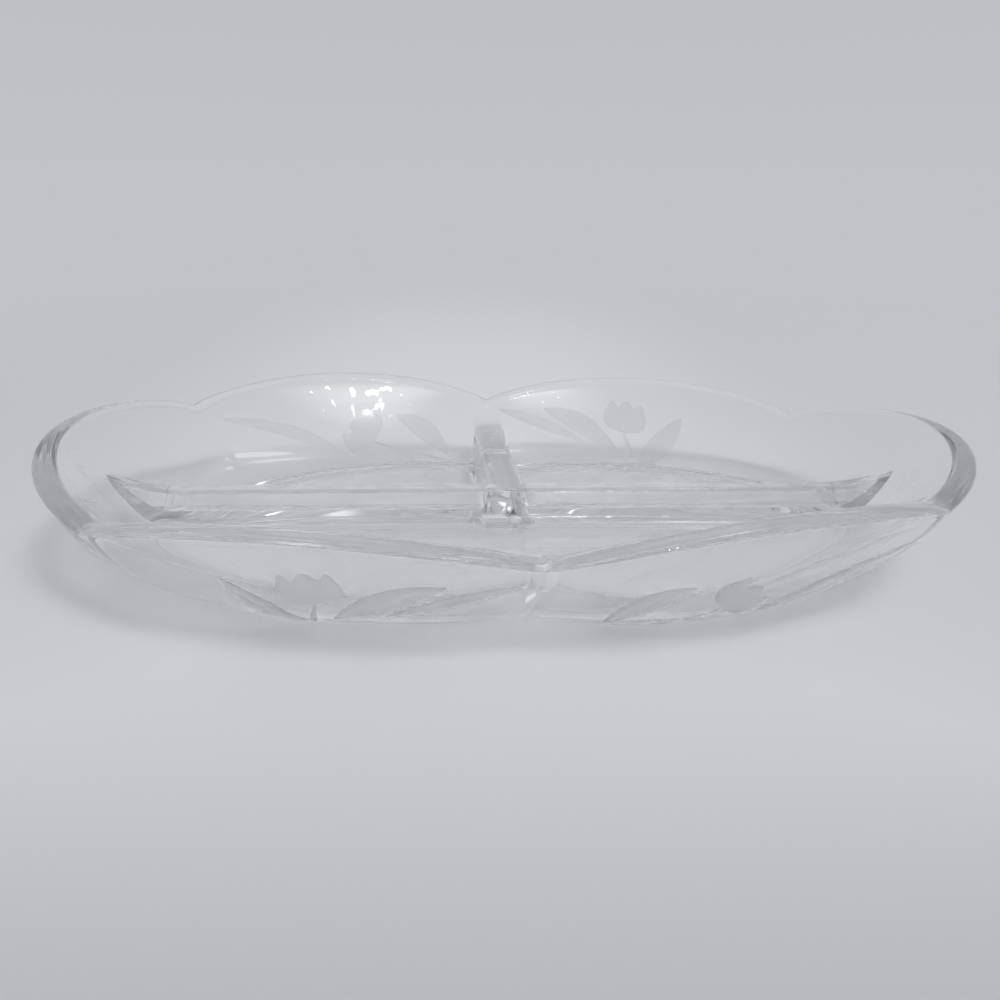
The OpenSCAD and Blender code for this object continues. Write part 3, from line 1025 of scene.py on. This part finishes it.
@dataclass
class Studio:
    """The pale table top, the pale background and the soft light."""

    table_colour: str = "CDCFD3"
    # painted shade: the paint's colour where it stands in shade, not a second colour of the paint
    shaded_table_colour: str = "A3A5A9"
    # painted shade: the paint turns from the first colour to the darker second one between these
    # distances from the tray, to the sides and in front, as if less light fell there
    painted_shade_front: Pair = (0.06, 0.24)
    painted_shade_side: Pair = (0.04, 0.22)
    painted_shade_middle: float = -0.02
    # painted shade: how much of the darker colour the sides get
    side_painted_shade_share: float = 0.36
    table_half: float = 6.0
    table_height: float = -0.00005
    paint_roughness: Pair = (0.62, 0.72)
    paint_specular: float = 0.25
    mottle_mm: float = 1000 / 9
    fade_reach: Pair = (0.16, 0.7)
    background: str = "C1C3C7"
    high_background: str = "BABCC0"
    high_climb: float = 0.35
    # the light is brightest from the side light_from, and matt paint is also lit by a narrow beam
    light_low: float = 0.30
    light_high: float = 0.96
    light_edge: float = -0.2
    light_from: Triple = (0.40, 0.50, 0.77)
    beam_level: float = 14.5
    beam_from: Triple = (0.34, -0.24, 0.90)
    beam_degrees: Pair = (5.0, 9.0)
    glass_bounces: int = 40
    lamps: tuple[Lamp, ...] = (
        Lamp("ceiling_panel", place=(0.68, -0.48, 1.8), size=(0.7, 0.7), watts=4.6),
    )
    daylight: tuple[DaylightPanel, ...] = (
        DaylightPanel(170.0, 25.4),
        DaylightPanel(112.0, 70.0, size=(1.9, 0.6), core_share=0.25, core_strength=4.0,
                      glow_strength=1.0, ragged=0.2),
    )

    def shown(self, tree: NodeTree) -> NodeSocket:
        """Adds the test for rays that show the background.

        Args:
            tree: Node tree that takes the nodes.

        Returns:
            Socket that is 1 for camera, glossy and transmission rays, and 0 for the rays that
            light a matt surface.
        """
        path = add_node(tree, "LightPath")
        gloss = add_node(tree, "Math", {"operation": "MAXIMUM"},
                         {0: path.outputs["Is Camera Ray"], 1: path.outputs["Is Glossy Ray"]})
        every = add_node(tree, "Math", {"operation": "MAXIMUM"},
                         {0: gloss.outputs[0], 1: path.outputs["Is Transmission Ray"]})
        direct = add_node(tree, "Math", {"operation": "LESS_THAN", 1: 0.5},
                          {0: path.outputs["Diffuse Depth"]})
        return add_node(tree, "Math", {"operation": "MULTIPLY"},
                        {0: every.outputs[0], 1: direct.outputs[0]}).outputs[0]

    def table_tone_with_painted_shade(self, tree: NodeTree, place: Node) -> NodeSocket:
        """Adds the paint's colour with painted shade: lightest round the tray and darker to the
        sides and in front, as if less light fell there.

        Args:
            tree: Node tree that takes the nodes.
            place: Texture coordinates of the table.

        Returns:
            Socket of the colour.
        """
        spot = add_node(tree, "SeparateXYZ", None, {0: place.outputs["Object"]})
        offset = add_node(tree, "Math", {"operation": "SUBTRACT", 1: self.painted_shade_middle},
                          {0: spot.outputs["X"]})
        aside = add_node(tree, "Math", {"operation": "ABSOLUTE"}, {0: offset.outputs[0]})
        side = add_node(tree, "MapRange",
                        {**SMOOTH, "From Min": self.painted_shade_side[0], "From Max": self.painted_shade_side[1],
                         "To Max": self.side_painted_shade_share}, {"Value": aside.outputs[0]})
        front = add_node(tree, "MapRange",
                         {**SMOOTH, "From Min": -self.painted_shade_front[1],
                          "From Max": -self.painted_shade_front[0], "To Min": 1.0, "To Max": 0.0},
                         {"Value": spot.outputs["Y"]})
        # painted shade: the share of the darker colour at each place
        painted_shade_share = add_node(tree, "Math", {"operation": "MAXIMUM"},
                        {0: side.outputs["Result"], 1: front.outputs["Result"]})
        colour = add_node(tree, "Mix",
                          {"data_type": "RGBA", 6: linear(self.table_colour),
                           7: linear(self.shaded_table_colour)}, {0: painted_shade_share.outputs[0]})
        return colour.outputs[2]

    def table(self) -> Object:
        """Makes the table top, whose far parts fade into the background.

        Its matt paint scatters the light evenly, and faint clouds in its sheen keep it from looking
        flat. Its colour carries painted shade to the sides and in front.

        Returns:
            The table's object.
        """
        material, output = new_material("matt_white_painted_table")
        tree = material.node_tree
        place = add_node(tree, "TexCoord")
        mottle = add_node(tree, "TexNoise", {"Scale": 1 / (self.mottle_mm * MM), "Detail": 3.0},
                          {"Vector": place.outputs["Object"]})
        sheen = add_node(tree, "MapRange",
                         {"To Min": self.paint_roughness[0], "To Max": self.paint_roughness[1]},
                         {"Value": mottle.outputs["Fac"]})
        paint = add_node(tree, "BsdfPrincipled", {"Specular IOR Level": self.paint_specular},
                         {"Base Color": self.table_tone_with_painted_shade(tree, place),
                          "Roughness": sheen.outputs["Result"]})
        glow = add_node(tree, "Emission", {"Color": linear(self.background), "Strength": 1.0})
        reach = add_node(tree, "VectorMath", {"operation": "LENGTH"}, {0: place.outputs["Object"]})
        fade = add_node(tree, "MapRange",
                        {**SMOOTH, "From Min": self.fade_reach[0], "From Max": self.fade_reach[1]},
                        {"Value": reach.outputs["Value"]})
        amount = add_node(tree, "Math", {"operation": "MULTIPLY"},
                          {0: fade.outputs["Result"], 1: self.shown(tree)})
        mix = add_node(tree, "MixShader", None, {0: amount.outputs[0], 1: paint.outputs["BSDF"],
                                                 2: glow.outputs["Emission"]})
        tree.links.new(mix.outputs["Shader"], output.inputs["Surface"])
        half = self.table_half
        return level_sheet("table_top", (half, half), self.table_height, material)

    def surroundings(self) -> None:
        """Sets the pale background, the soft graded light and the beam that matt paint sees."""
        world = bpy.data.worlds.new("pale_studio")
        world.use_nodes = True
        tree = world.node_tree
        tree.nodes.clear()
        way = add_node(tree, "TexCoord")
        facing, towards = (
            add_node(tree, "VectorMath",
                     {"operation": "DOT_PRODUCT", 1: tuple(Vector(side).normalized())},
                     {0: way.outputs["Generated"]})
            for side in (self.light_from, self.beam_from))
        level = add_node(tree, "MapRange",
                         {**SMOOTH, "From Min": self.light_edge, "From Max": 1.0,
                          "To Min": self.light_low, "To Max": self.light_high},
                         {"Value": facing.outputs["Value"]})
        inner, outer = (math.cos(math.radians(degrees)) for degrees in self.beam_degrees)
        beam = add_node(tree, "MapRange",
                        {**SMOOTH, "From Min": outer, "From Max": inner,
                         "To Max": self.beam_level}, {"Value": towards.outputs["Value"]})
        total = add_node(tree, "Math", {"operation": "ADD"},
                         {0: level.outputs["Result"], 1: beam.outputs["Result"]})
        light = add_node(tree, "Background", {"Color": (1, 1, 1, 1)},
                         {"Strength": total.outputs[0]})
        height = add_node(tree, "SeparateXYZ", None, {0: way.outputs["Generated"]})
        climb = add_node(tree, "MapRange", {"From Min": 0.0, "From Max": self.high_climb},
                         {"Value": height.outputs["Z"]})
        tone = add_node(tree, "Mix",
                        {"data_type": "RGBA", 6: linear(self.background),
                         7: linear(self.high_background)}, {0: climb.outputs["Result"]})
        pale = add_node(tree, "Background", {"Strength": 1.0}, {"Color": tone.outputs[2]})
        mix = add_node(tree, "MixShader", None,
                       {0: self.shown(tree), 1: light.outputs[0], 2: pale.outputs[0]})
        add_node(tree, "OutputWorld", None, {"Surface": mix.outputs["Shader"]})
        bpy.context.scene.world = world

    def build(self) -> None:
        """Sets up the table, the background, the daylight and the lamps."""
        self.table()
        for panel in self.daylight:
            panel.build()
        for lamp in self.lamps:
            lamp.build()
        self.surroundings()
        scene = bpy.context.scene
        scene.view_settings.view_transform = "Standard"
        scene.cycles.max_bounces = scene.cycles.transmission_bounces = self.glass_bounces
        scene.cycles.glossy_bounces = self.glass_bounces
        scene.cycles.blur_glossy = 0.0
        LOG.info("studio: %d daylight panels and %d lamps", len(self.daylight), len(self.lamps))


@dataclass(frozen=True)
class PhotoCamera:
    """The camera at the photograph's place and angle, worked out from the rim's outline."""

    place: Triple = (-0.0141, -0.2408, 0.1183)
    down_degrees: float = 23.66
    right_degrees: float = 2.70
    roll_degrees: float = -0.70
    lens: float = 27.0
    sensor: float = 36.0
    clip: Pair = (0.01, 50.0)

    def build(self) -> Object:
        """Sets up the camera.

        Returns:
            The scene's camera.
        """
        down, side = math.radians(self.down_degrees), math.radians(self.right_degrees)
        level = math.cos(down)
        forward = Vector((math.sin(side) * level, math.cos(side) * level, -math.sin(down)))
        right = forward.cross(Vector((0, 0, 1))).normalized()
        up = right.cross(forward)
        roll = math.radians(self.roll_degrees)
        cosine, sine = math.cos(roll), math.sin(roll)
        right, up = right * cosine - up * sine, right * sine + up * cosine
        data = bpy.data.cameras.new("photo_camera")
        data.lens, data.sensor_width = self.lens, self.sensor
        data.clip_start, data.clip_end = self.clip
        camera = bpy.data.objects.new("photo_camera", data)
        turn = Matrix((right, up, -forward)).transposed().to_4x4()
        camera.matrix_world = Matrix.Translation(self.place) @ turn
        bpy.context.scene.collection.objects.link(camera)
        bpy.context.scene.camera = camera
        return camera


def main() -> None:
    """Builds the tray, the studio and the camera, and logs the faces of each piece and the camera's
    lens.
    """
    logging.basicConfig(level=logging.INFO, format="%(name)s: %(message)s")
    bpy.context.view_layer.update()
    clear, satin = PressedGlass().material(), EtchedGlass().material()
    tray = TrayBody()
    body = tray.build(clear)
    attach(body, ROOT)
    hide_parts("tray_shell", "foot_ring", "long_divider", "cross_divider")
    LOG.info("%s: %d faces", body.name, len(body.data.polygons))
    for spray in sprays(tray.wall):
        piece = spray.build(satin)
        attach(piece, ROOT)
        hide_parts(spray.name)
        LOG.info("%s: %d faces", piece.name, len(piece.data.polygons))
    Studio().build()
    camera = PhotoCamera().build()
    LOG.info("%s: %.1f mm lens", camera.name, camera.data.lens)
    bpy.context.view_layer.update()


if __name__ == "__main__":
    main()
